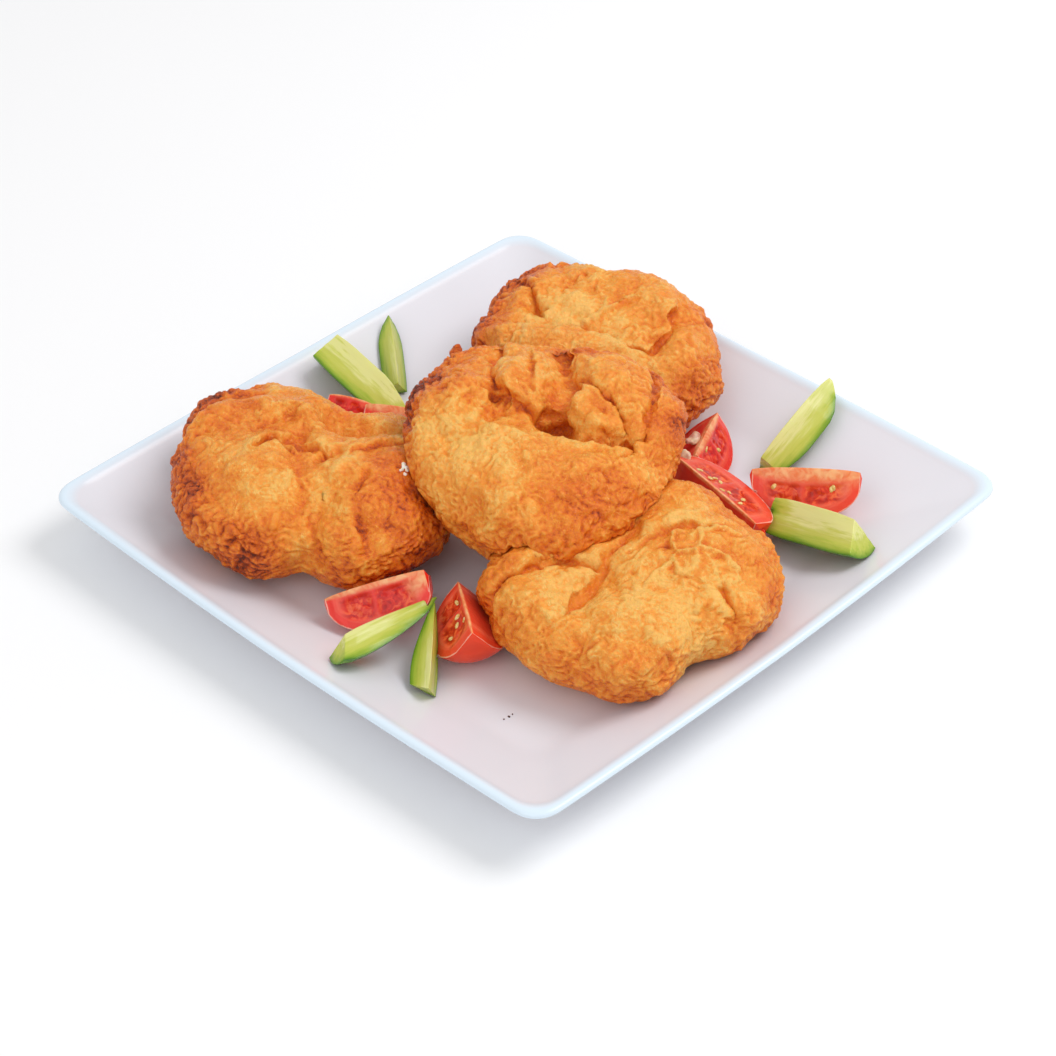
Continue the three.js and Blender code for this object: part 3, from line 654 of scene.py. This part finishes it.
# tomato and cucumber wedges, each laid as its solid is: at is u, v and height, and lift is how far
# a wedge's middle lies below its own axis. Of a tomato's cut faces, core is the share from the core
# edge that is pale, end is how pale the far end is, seeds is how many show, smooth is the side that
# has no seed chamber, and warm is how far its red leans to orange.
wedgeForm = {"crown": 0.13, "hollow": 1.4, "grows": (0.45, 0.9), "rises": 0.38, "falls": 0.22, "seedCore": 3}
wedges = {
    "tomato_front_left": {
        "at": (-54.75, -61.5, 19.535), "heading": 1.41, "pitch": 18.29, "roll": -4, "lift": -6.838,
        "length": 40.51, "radius": 16, "angle": 86, "blunt": 0.45, "core": 0.14, "end": 1, "seeds": 0,
        "smooth": 0, "warm": 0.1,
    },
    "tomato_front": {
        "at": (-23.25, -78, 20.393), "heading": -80.25, "pitch": 1.76, "roll": 3, "lift": -8.317,
        "length": 32.47, "radius": 19.5, "angle": 88, "blunt": 0.6, "core": 0.05, "end": 0, "seeds": 5,
        "smooth": 1, "warm": 0.8,
    },
    "tomato_right_middle": {
        "at": (74, -5.5, 20.689), "heading": -52.43, "pitch": -5.8, "roll": 26, "lift": -7.672,
        "length": 49.2, "radius": 18, "angle": 90, "blunt": 0.6, "core": 0.07, "end": 0, "seeds": 9,
        "smooth": -1, "warm": 0.7,
    },
    "tomato_right_back": {
        "at": (69.75, 28.65, 19.074), "heading": 69.22, "pitch": 0, "roll": 7, "lift": -7.231,
        "length": 32.41, "radius": 17, "angle": 90, "blunt": 0.8, "core": 0.16, "end": 0, "seeds": 3,
        "smooth": 1, "warm": 0.0,
    },
    "tomato_right": {
        "at": (107.5, 2.5, 19.534), "heading": -5.31, "pitch": 0.63, "roll": -3, "lift": -7.674,
        "length": 43.19, "radius": 18, "angle": 84, "blunt": 0.75, "core": 0.3, "end": 0.3, "seeds": 5,
        "smooth": 0, "warm": 0.6,
    },
    "tomato_back_left": {
        "at": (-69.5, 52, 19.207), "heading": -22.83, "pitch": -0.99, "roll": -16, "lift": -7.243,
        "length": 20.62, "radius": 17, "angle": 88, "blunt": 0.7, "core": 0.05, "end": 0, "seeds": 6,
        "smooth": 0, "warm": 0.1,
    },
    "tomato_back_middle": {
        "at": (-50, 44, 19.753), "heading": -15.95, "pitch": 0, "roll": -12, "lift": -7.677,
        "length": 29.12, "radius": 18, "angle": 88, "blunt": 0.6, "core": 0.2, "end": 1, "seeds": 6,
        "smooth": 0, "warm": 0.4,
    },
    "cucumber_front_left": {
        "at": (-53.25, -81.25, 21.867), "heading": 36.75, "pitch": -1.56, "roll": -30, "lift": -8.4,
        "radius": 14, "angle": 64,
    },
    "cucumber_front": {
        "at": (-37, -86.5, 19.021), "heading": 86.73, "pitch": 9.76, "roll": 20, "lift": -7.661,
        "radius": 12.5, "angle": 50,
    },
    "cucumber_right": {
        "at": (110.5, -24, 21.561), "heading": -40.31, "pitch": 11.45, "roll": -20, "lift": -10.696,
        "radius": 18.5, "angle": 62,
    },
    "cucumber_right_back": {
        "at": (109.25, 41, 21.377), "heading": 48.11, "pitch": 21.17, "roll": -20, "lift": -9.456,
        "radius": 16, "angle": 60,
    },
    "cucumber_back_left": {
        "at": (-62.25, 69.75, 23.552), "heading": -49.46, "pitch": -10.05, "roll": -36, "lift": -10.447,
        "radius": 18, "angle": 62,
    },
    "cucumber_back": {
        "at": (-53.5, 99, 18.432), "heading": 96.01, "pitch": 15.95, "roll": 8, "lift": -6.723,
        "radius": 10.5, "angle": 58,
    },
}


def wedgePlace(wedge):
    turned = Matrix.Rotation(foodTurn, 4, "Z") @ Matrix.Translation(wedge["at"])
    turned = turned @ Matrix.Rotation(math.radians(wedge["heading"]), 4, "Z")
    turned = turned @ Matrix.Rotation(-math.radians(wedge["pitch"]), 4, "Y")
    turned = turned @ Matrix.Rotation(math.radians(wedge["roll"]), 4, "X")
    return turned @ Matrix.Translation((0, 0, -wedge["lift"]))


def throughMatrix(points, matrix):
    grid = np.array(matrix)
    return points @ grid[:3, :3].T + grid[:3, 3]


# the direction that one cut face looks in, in the wedge's own frame
def cutFacing(wedge, coreHeight, side):
    half = math.radians(wedge["angle"] / 2)
    rise = math.cos(half) * wedge["radius"] + coreHeight
    return Vector((0, side * rise, math.sin(half) * wedge["radius"])).normalized()


# the round skin gets the first material, the cut faces the second; a flat cut end is flesh as well
def markSkin(bm, wedge, place, coreHeight, endIsCut):
    toOwn = place.to_3x3().inverted()
    ways = [cutFacing(wedge, coreHeight, side) for side in (1, -1)]
    for face in bm.faces:
        facing = toOwn @ face.normal
        cut = max(facing.dot(way) for way in ways) > 0.55
        flat = endIsCut and abs(facing.x) > 0.6
        face.material_index = 1 if cut or flat else 0


def skinVerts(bm):
    onSkin = np.zeros(len(bm.verts), bool)
    onCut = np.zeros(len(bm.verts), bool)
    for face in bm.faces:
        mark = onSkin if face.material_index == 0 else onCut
        for vert in face.verts:
            mark[vert.index] = True
    return onSkin, onCut


def depthUnderSkin(bm, local):
    skin = [[vert.index for vert in face.verts] for face in bm.faces if face.material_index == 0]
    points = local.tolist()
    tree = BVHTree.FromPolygons(points, skin)
    return np.array([tree.find_nearest(point)[3] for point in points])


# tomato skin: thin, tight and glossy over bright red flesh
def tomatoSkin():
    material, tree, shader = newMaterial("tomato skin")
    where = addNode(tree, "ShaderNodeTexCoord").outputs["Object"]
    cloud = addNode(tree, "ShaderNodeTexNoise", inputs={"Vector": where, "Scale": perMm(14), "Detail": 3.0})
    colour = addNode(tree, "ShaderNodeValToRGB", inputs={"Fac": cloud.outputs["Fac"]}, stops=[
        (0.3, "#E4221E"), (0.55, "#F03024"), (0.75, "#F65228")])
    warm = addNode(tree, "ShaderNodeAttribute", {"attribute_name": "warm"}).outputs["Fac"]
    hue = addNode(tree, "ShaderNodeMapRange", inputs={"Value": warm, "To Min": 0.5, "To Max": 0.509})
    shifted = addNode(tree, "ShaderNodeHueSaturation", inputs={
        "Hue": hue.outputs[0], "Color": colour.outputs["Color"]})
    tree.links.new(shifted.outputs["Color"], shader.inputs["Base Color"])
    shader.inputs["Roughness"].default_value = 0.14
    shader.inputs["IOR"].default_value = 1.4
    shader.inputs["Subsurface Weight"].default_value = 0.2
    shader.inputs["Subsurface Radius"].default_value = (1.0, 0.2, 0.1)
    shader.inputs["Subsurface Scale"].default_value = 2 * mm
    return material


# cut tomato: firm wall with fine lines along the skin, pale fibrous core, wet gel round the seeds
def tomatoFlesh():
    material, tree, shader = newMaterial("cut tomato flesh")
    depth = addNode(tree, "ShaderNodeAttribute", {"attribute_name": "skinDepth"}).outputs["Fac"]
    gel = addNode(tree, "ShaderNodeAttribute", {"attribute_name": "gel"}).outputs["Fac"]
    pale = addNode(tree, "ShaderNodeAttribute", {"attribute_name": "pale"}).outputs["Fac"]
    local = addNode(tree, "ShaderNodeAttribute", {"attribute_name": "wedgePlace"}).outputs["Vector"]
    fibre = addNode(tree, "ShaderNodeTexNoise", inputs={
        "Vector": local, "Scale": perMm(3.2), "Detail": 4.0, "Distortion": 0.8})
    uneven = addNode(tree, "ShaderNodeMath", {"operation": "MULTIPLY_ADD"}, {
        0: fibre.outputs["Fac"], 1: 0.16, 2: depth})
    turns = addNode(tree, "ShaderNodeMath", {"operation": "MULTIPLY"}, {0: uneven.outputs[0], 1: 52.0})
    lines = addNode(tree, "ShaderNodeMath", {"operation": "SINE"}, {0: turns.outputs[0]})
    lined = addNode(tree, "ShaderNodeMath", {"operation": "MULTIPLY_ADD"}, {
        0: lines.outputs[0], 1: 0.03, 2: depth})
    # the palest stops, within half a millimetre of the skin, are a painted highlight along the edge where
    # the cut meets the skin
    wall = addNode(tree, "ShaderNodeValToRGB", inputs={"Fac": lined.outputs[0]}, stops=[
        (0.0, "#F8B0A0"), (0.045, "#F07060"), (0.08, "#EE362E"), (0.25, "#EE3A32"), (0.45, "#F25E4C"),
        (0.7, "#EA3E36")])
    gelRed = addNode(tree, "ShaderNodeValToRGB", inputs={"Fac": fibre.outputs["Fac"]}, stops=[
        (0.36, "#B8121A"), (0.5, "#DE261E"), (0.64, "#F4663E")])
    coreTone = addNode(tree, "ShaderNodeValToRGB", inputs={"Fac": fibre.outputs["Fac"]}, stops=[
        (0.35, "#EC7C4A"), (0.65, "#F6BC86")])
    inGel = addNode(tree, "ShaderNodeMix", {"data_type": "RGBA"}, {
        0: gel, 6: wall.outputs["Color"], 7: gelRed.outputs["Color"]})
    withCore = addNode(tree, "ShaderNodeMix", {"data_type": "RGBA"}, {
        0: pale, 6: inGel.outputs[2], 7: coreTone.outputs["Color"]})
    warm = addNode(tree, "ShaderNodeAttribute", {"attribute_name": "warm"}).outputs["Fac"]
    hue = addNode(tree, "ShaderNodeMapRange", inputs={"Value": warm, "To Min": 0.5, "To Max": 0.509})
    warmed = addNode(tree, "ShaderNodeHueSaturation", inputs={
        "Hue": hue.outputs[0], "Color": withCore.outputs[2]})
    tree.links.new(warmed.outputs["Color"], shader.inputs["Base Color"])
    wet = addNode(tree, "ShaderNodeMapRange", inputs={"Value": gel, "To Min": 0.22, "To Max": 0.04})
    tree.links.new(wet.outputs[0], shader.inputs["Roughness"])
    pulp = addNode(tree, "ShaderNodeTexNoise", inputs={"Vector": local, "Scale": perMm(1.8), "Detail": 2.0})
    bump = addNode(tree, "ShaderNodeBump", inputs={
        "Height": pulp.outputs["Fac"], "Strength": 0.5, "Distance": 0.4 * mm})
    tree.links.new(bump.outputs["Normal"], shader.inputs["Normal"])
    shader.inputs["IOR"].default_value = 1.37
    shader.inputs["Subsurface Weight"].default_value = 0.3
    shader.inputs["Subsurface Radius"].default_value = (1.0, 0.25, 0.15)
    shader.inputs["Subsurface Scale"].default_value = 2.5 * mm
    return material


# cucumber skin: waxy dark green with fine paler lines along its length
def cucumberSkin():
    material, tree, shader = newMaterial("cucumber skin")
    local = addNode(tree, "ShaderNodeAttribute", {"attribute_name": "wedgePlace"}).outputs["Vector"]
    stretched = addNode(tree, "ShaderNodeMapping", inputs={"Vector": local, "Scale": (0.12, 1, 1)})
    streak = addNode(tree, "ShaderNodeTexNoise", inputs={
        "Vector": stretched.outputs[0], "Scale": perMm(2.4), "Detail": 3.0})
    colour = addNode(tree, "ShaderNodeValToRGB", inputs={"Fac": streak.outputs["Fac"]}, stops=[
        (0.3, "#3C6E1A"), (0.55, "#5C8F26"), (0.75, "#93B53E")])
    tree.links.new(colour.outputs["Color"], shader.inputs["Base Color"])
    shader.inputs["Roughness"].default_value = 0.24
    shader.inputs["Subsurface Weight"].default_value = 0.1
    shader.inputs["Subsurface Radius"].default_value = (0.4, 1.0, 0.2)
    shader.inputs["Subsurface Scale"].default_value = 1.5 * mm
    return material


# cut cucumber: watery pale flesh, greener towards the skin, faint lines along its length
def cucumberFlesh():
    material, tree, shader = newMaterial("cut cucumber flesh")
    depth = addNode(tree, "ShaderNodeAttribute", {"attribute_name": "skinDepth"}).outputs["Fac"]
    local = addNode(tree, "ShaderNodeAttribute", {"attribute_name": "wedgePlace"}).outputs["Vector"]
    stretched = addNode(tree, "ShaderNodeMapping", inputs={"Vector": local, "Scale": (0.12, 1, 1)})
    streak = addNode(tree, "ShaderNodeTexNoise", inputs={
        "Vector": stretched.outputs[0], "Scale": perMm(2.2), "Detail": 4.0, "Roughness": 0.6})
    shifted = addNode(tree, "ShaderNodeMath", {"operation": "MULTIPLY_ADD"}, {
        0: streak.outputs["Fac"], 1: 2.4, 2: -1.2})
    total = addNode(tree, "ShaderNodeMath", {"operation": "MULTIPLY_ADD", "use_clamp": True}, {
        0: shifted.outputs[0], 1: depth, 2: depth})
    colour = addNode(tree, "ShaderNodeValToRGB", inputs={"Fac": total.outputs[0]}, stops=[
        (0.0, "#46781C"), (0.07, "#7C9E2A"), (0.18, "#A2B63C"), (0.38, "#C0C654"), (0.62, "#C6CA5E"),
        (0.95, "#DCDB8E")])
    tree.links.new(colour.outputs["Color"], shader.inputs["Base Color"])
    bump = addNode(tree, "ShaderNodeBump", inputs={
        "Height": streak.outputs["Fac"], "Strength": 0.3, "Distance": 0.3 * mm})
    tree.links.new(bump.outputs["Normal"], shader.inputs["Normal"])
    shader.inputs["Roughness"].default_value = 0.16
    shader.inputs["IOR"].default_value = 1.37
    shader.inputs["Subsurface Weight"].default_value = 0.25
    shader.inputs["Subsurface Radius"].default_value = (0.8, 1.0, 0.3)
    shader.inputs["Subsurface Scale"].default_value = 3 * mm
    return material


tomatoMaterials = [tomatoSkin(), tomatoFlesh()]
cucumberMaterials = [cucumberSkin(), cucumberFlesh()]
seedSpots = []


# a tomato wedge's full radius along its length
def reachAlong(x, wedge):
    share = np.clip(np.abs(x) / (wedge["length"] / 2), 0, 1)
    power = np.where(x > 0, wedge["blunt"], 0.85) / 2
    return wedge["radius"] * (1 - share ** 2) ** power


# where the seed chambers lie on the cut faces, one on each side of a firm partition
def chamberOf(local, share, wedge):
    along = local[:, 0] / (wedge["length"] / 2)
    near = wedge["core"]
    ring = smoothStep(share, near, near + 0.14) * (1 - smoothStep(share, 0.66, 0.78))
    ring *= np.sign(local[:, 1]) != wedge["smooth"]
    return ring * (1 - smoothStep(np.abs(along), 0.55, 0.78)) * (1 - 0.85 * bell(along + 0.06, 0.07))


def makeTomato(name, wedge):
    place = wedgePlace(wedge)
    crown = wedgeForm["crown"]
    bm = finePart(name, 0, smooth=False)
    bm.normal_update()
    markSkin(bm, wedge, place, crown * wedge["radius"], endIsCut=False)
    splitEdges(bm, 4)
    bm.verts.index_update()
    onSkin, onCut = skinVerts(bm)
    local = throughMatrix(placesOf(bm), place.inverted())
    reach = reachAlong(local[:, 0], wedge)
    radial = np.hypot(local[:, 1], local[:, 2])
    # the solid's flat skin facets go out to the true round
    rounder = np.where(onSkin, np.clip(reach / np.maximum(radial, 1), 1, 1.06), 1)
    local[:, 1:] *= rounder[:, None]
    half = math.radians(wedge["angle"] / 2)
    faceLength = np.hypot(math.sin(half), math.cos(half) + crown) * np.maximum(reach, 1)
    share = np.clip(np.hypot(local[:, 1], local[:, 2] - crown * reach) / faceLength, 0, 1)
    chamber = chamberOf(local, share, wedge) * onCut * ~onSkin
    sunk = np.clip(np.minimum(share / wedgeForm["rises"], (1 - share) / wedgeForm["falls"]), 0, 1)
    sunk *= wedgeForm["hollow"] * smoothStep(reach / wedge["radius"], *wedgeForm["grows"])
    bulge = noiseAt(local, 4.5, len(name)) * 0.8 + noiseAt(local, 2.2, len(name) + 3) * 0.25
    outward = np.array(cutFacing(wedge, crown * wedge["radius"], 1)) * np.ones((len(local), 1))
    outward[:, 1] *= np.sign(local[:, 1])
    local += outward * ((sunk - chamber * (0.7 - bulge)) * onCut * ~onSkin)[:, None]
    moveTo(bm, throughMatrix(local, place))
    soften(bm, 0.4)
    places, normals = placesOf(bm), normalsOf(bm)
    wettest = np.flatnonzero(chamber > 0.6)
    count = min(wedge["seeds"], len(wettest))
    picks = np.random.default_rng(len(name)).choice(wettest, count, replace=False)
    seedSpots.extend((places[i], normals[i]) for i in picks)
    along = local[:, 0] / (wedge["length"] / 2)
    pale = 1 - smoothStep(share, wedge["core"] * 0.5, wedge["core"] * 1.3)
    paleEnd = smoothStep(along, 0.45, 0.85) * (1 - smoothStep(share, 0.3, 0.75))
    pale = np.maximum(pale, wedge["end"] * paleEnd)
    marks = {
        "skinDepth": depthUnderSkin(bm, local) / 10, "gel": chamber, "pale": pale * 0.9,
        "wedgePlace": local * mm, "warm": np.full(len(local), wedge["warm"]),
    }
    finished(bm, "wedge" + labelOf(name), tomatoMaterials, [name], sharp=50, marks=marks)


def makeCucumber(name, wedge):
    place = wedgePlace(wedge)
    bm = finePart(name, 0, smooth=False)
    bm.normal_update()
    markSkin(bm, wedge, place, -wedgeForm["seedCore"], endIsCut=True)
    splitEdges(bm, 4)
    soften(bm, 0.5)
    bm.verts.index_update()
    local = throughMatrix(placesOf(bm), place.inverted())
    wave = noiseAt(local * np.array([0.2, 1, 1]), 3, len(name)) * 0.25
    moveTo(bm, placesOf(bm) + normalsOf(bm) * wave[:, None])
    marks = {"skinDepth": depthUnderSkin(bm, local) / 10, "wedgePlace": local * mm}
    finished(bm, "wedge" + labelOf(name), cucumberMaterials, [name], sharp=50, marks=marks)


for wedgeName, wedgeSettings in wedges.items():
    if wedgeName.startswith("tomato"):
        makeTomato(wedgeName, wedgeSettings)
    else:
        makeCucumber(wedgeName, wedgeSettings)
print("wedges made")


# small loose things, one piece for each kind, their places in u, v and height
bits = {
    "cheeseCrumbs": [
        ((-46.2, -21.5, 51.5), (3.4, 1.8, 1.4)), ((-45.0, -23, 51), (2.6, 1.6, 1.4)),
        ((-46.9, -23.4, 51), (2.2, 1.5, 1.2)), ((-45.4, -25.2, 50.5), (2.0, 1.2, 1.0)),
    ],
    "plateSpecks": [
        ((-8.5, -114.2, 9.2), (1.2, 0.7, 0.4)), ((-7.2, -113.0, 9.2), (0.7, 0.5, 0.4)),
        ((-10.3, -115.6, 9.2), (0.6, 0.5, 0.4)),
    ],
    "skinBit": [((87.0, -44.5, 34), (6.5, 3.6, 0.9)), ((90.5, -47.5, 33), (4.5, 3.0, 0.8))],
    "stemCore": [
        ((60.8, 11.2, 29), (-0.2, -0.6, 0.7), (6.0, 6.0, 2.2)),
        ((66.0, 25.5, 27.5), (0.1, -0.3, 0.9), (6.5, 4.2, 2.4)),
        ((63.5, 23.5, 27.5), (0, -0.2, 0.9), (3.5, 2.8, 2.0)),
    ],
    "crustTip": [
        ((-25, 31, 60), (8, 7, 7)), ((-26, 33.5, 61), (7, 6, 6)), ((-26.5, 35.5, 61.8), (5.4, 5, 5)),
        ((-26, 37, 63), (3.6, 3.4, 3.8)), ((-29, 33, 59), (5, 4.4, 4.4)), ((-31.5, 31, 58), (4.6, 4, 4)),
        ((-22.5, 35, 61), (5, 4.4, 4.4)), ((-34.5, 28.5, 56), (4.2, 3.6, 3.6)),
    ],
}


# the place on a dough's crust that is nearest to a point of the layout, and the crust's facing there
def onCrust(name, at):
    point = Matrix.Rotation(foodTurn, 3, "Z") @ Vector(at)
    place, facing = crustTrees[name].find_nearest(point * mm)[:2]
    return np.array(place) / mm, np.array(facing)


def inLayout(at):
    return np.array(Matrix.Rotation(foodTurn, 3, "Z") @ Vector(at))


# lumpy ellipsoids, each with a place, a facing and a size across, in millimetres
def makeBits(name, material, spots, lumpy, marks=None):
    bm = bmesh.new()
    for i, (at, facing, size) in enumerate(spots):
        turn = Vector(facing).to_track_quat("Z", "X").to_matrix().to_4x4()
        turn = turn @ Matrix.Rotation(i * 2.4, 4, "Z")      # each one lies another way
        shape = Matrix.Diagonal((size[0] * mm / 2, size[1] * mm / 2, size[2] * mm / 2, 1))
        placed = Matrix.Translation(Vector(at) * mm) @ turn @ shape
        bmesh.ops.create_icosphere(bm, subdivisions=3, radius=1, matrix=placed)
    places, normals = placesOf(bm), normalsOf(bm)
    moveTo(bm, places + normals * (noiseAt(places, 1.2, len(name)) * lumpy)[:, None])
    values = {mark: np.full(len(places), value) for mark, value in (marks or {}).items()}
    finished(bm, name, [material], marks=values)


# loose bits: one clouded colour, and a shine by kind, such as soft white cheese, dry dark crumb, slick
# yellow seed or damp pale stem core
def bitMaterial(name, dark, light, size, roughness, glow):
    material, tree, shader = newMaterial(name)
    where = addNode(tree, "ShaderNodeTexCoord").outputs["Object"]
    cloud = addNode(tree, "ShaderNodeTexNoise", inputs={
        "Vector": where, "Scale": perMm(size), "Detail": 2.0})
    colour = addNode(tree, "ShaderNodeValToRGB", inputs={"Fac": cloud.outputs["Fac"]}, stops=[
        (0.35, dark), (0.65, light)])
    tree.links.new(colour.outputs["Color"], shader.inputs["Base Color"])
    shader.inputs["Roughness"].default_value = roughness
    shader.inputs["Subsurface Weight"].default_value = glow
    shader.inputs["Subsurface Scale"].default_value = 0.6 * mm
    return material


def makeAllBits():
    crumb = bitMaterial("fresh cheese crumb", "#F3E6CC", "#FFFBF2", 0.8, 0.45, 0.3)
    speck = bitMaterial("dark fried crumb", "#3A2018", "#6A3A22", 0.4, 0.6, 0.0)
    seed = bitMaterial("tomato seed", "#D9A848", "#F4DC9A", 0.9, 0.15, 0.2)
    crumbs = [(*onCrust("dough_left", at), size) for at, size in bits["cheeseCrumbs"]]
    makeBits("cheeseCrumbs", crumb, crumbs, 0.6)
    specks = [(inLayout(at), (0, 0, 1), size) for at, size in bits["plateSpecks"]]
    makeBits("plateSpecks", speck, specks, 0.1)
    shreds = [(*onCrust("dough_right", at), size) for at, size in bits["skinBit"]]
    makeBits("skinBit", tomatoMaterials[0], shreds, 0.3, marks={"warm": 0.2})
    stem = bitMaterial("tomato stem core", "#C4806A", "#EBCBA6", 3.0, 0.3, 0.2)
    cores = [(inLayout(at), inLayout(facing), size) for at, facing, size in bits["stemCore"]]
    makeBits("stemCore", stem, cores, 0.5)
    tips = [(inLayout(at), (0, 0, 1), size) for at, size in bits["crustTip"]]
    makeBits("crustTip", crustMaterial, tips, 0.8, marks={"browningAndShade": 0.72})
    seeds = [(at + facing * 0.1, facing, (2.7, 1.7, 0.9)) for at, facing in seedSpots]
    makeBits("tomatoSeeds", seed, seeds, 0.1)


makeAllBits()
print("bits made")


# pale floor and soft studio light
studio = {"floor": "#F7F7F8", "world": "#FFFFFF", "worldStrength": 0.7}
lamps = [
    {"name": "softTop", "at": (0.5, 0.7, 1.3), "size": 0.9, "power": 10.5},
    {"name": "softFront", "at": (0.3, -1.1, 0.9), "size": 1.2, "power": 3.5},
]


def makeStudio():
    bm = bmesh.new()
    bmesh.ops.create_grid(bm, x_segments=1, y_segments=1, size=4)
    mesh = bpy.data.meshes.new("floor")
    bm.to_mesh(mesh)
    bm.free()
    material, tree, shader = newMaterial("matt studio floor")
    shader.inputs["Base Color"].default_value = linearOf(studio["floor"])
    shader.inputs["Roughness"].default_value = 0.9
    mesh.materials.append(material)
    ground = bpy.data.objects.new("floor", mesh)
    bpy.context.collection.objects.link(ground)
    for lamp in lamps:
        data = bpy.data.lights.new(lamp["name"], "AREA")
        data.shape = "DISK"
        data.size = lamp["size"]
        data.energy = lamp["power"]
        light = bpy.data.objects.new(lamp["name"], data)
        aim = Vector((0, 0, 0.03)) - Vector(lamp["at"])
        turn = aim.to_track_quat("-Z", "Y").to_matrix().to_4x4()
        light.matrix_world = Matrix.Translation(lamp["at"]) @ turn
        bpy.context.collection.objects.link(light)
    world = bpy.data.worlds.new("studio")
    world.use_nodes = True
    sky = world.node_tree.nodes["Background"]
    sky.inputs["Color"].default_value = linearOf(studio["world"])
    sky.inputs["Strength"].default_value = studio["worldStrength"]
    scene = bpy.context.scene
    scene.world = world
    scene.view_settings.view_transform = "Standard"


makeStudio()
print("studio made")

bpy.context.view_layer.update()
